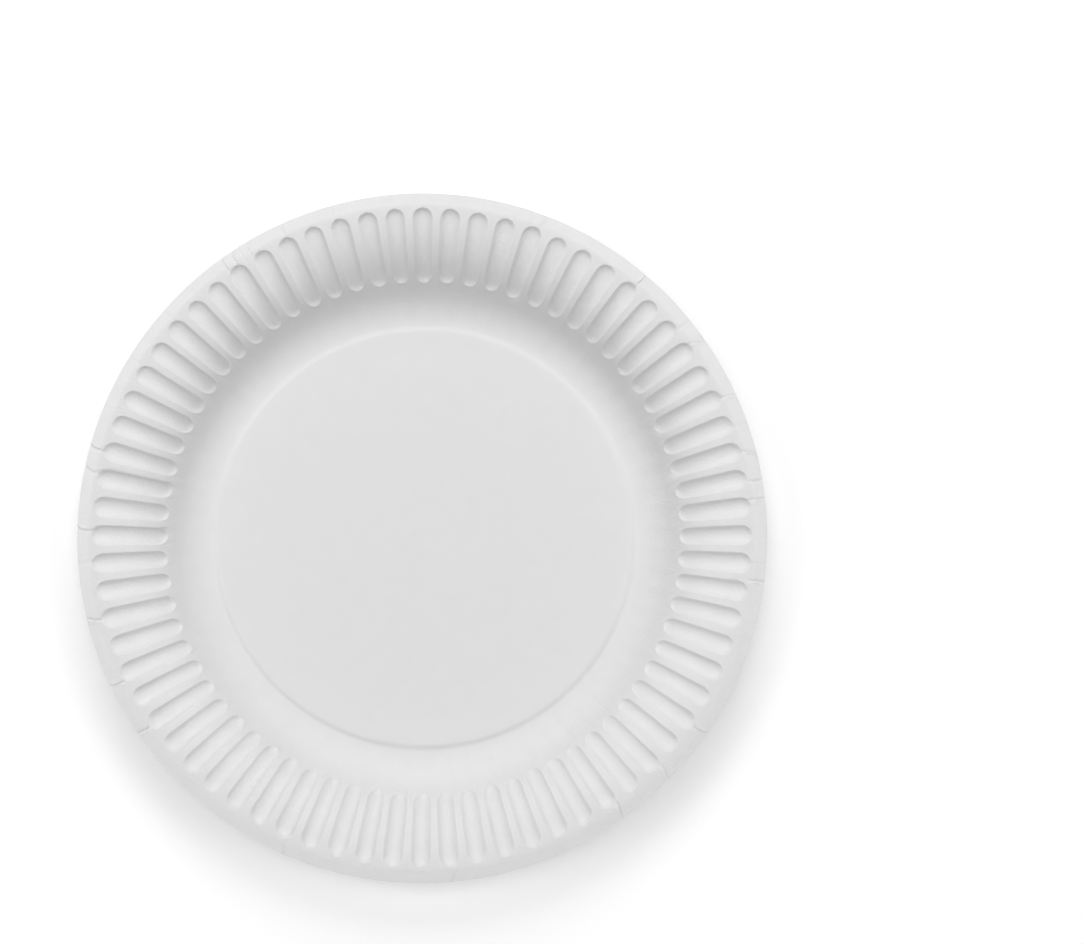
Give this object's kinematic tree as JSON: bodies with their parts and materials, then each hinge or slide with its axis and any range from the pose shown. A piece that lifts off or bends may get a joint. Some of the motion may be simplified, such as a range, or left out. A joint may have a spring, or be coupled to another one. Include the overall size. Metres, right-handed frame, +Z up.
{
  "type": "paper plate",
  "caption": "Round dished plate pressed from one sheet of paperboard, with a raised flat panel, a foot ring, a fluted rim and a turned-down lip.",
  "frame": {"origin": "centre of the foot ring, on the surface that the plate stands on", "axes": "+Z up through the middle of the plate, towards the side that holds the food; +X through the middle of a flute"},
  "size_m": [0.229, 0.229, 0.0199],
  "materials": {
    "paperboard": "matte"
  },
  "bodies": {
    "root": {"plate": "paperboard"}
  },
  "joints": []
}
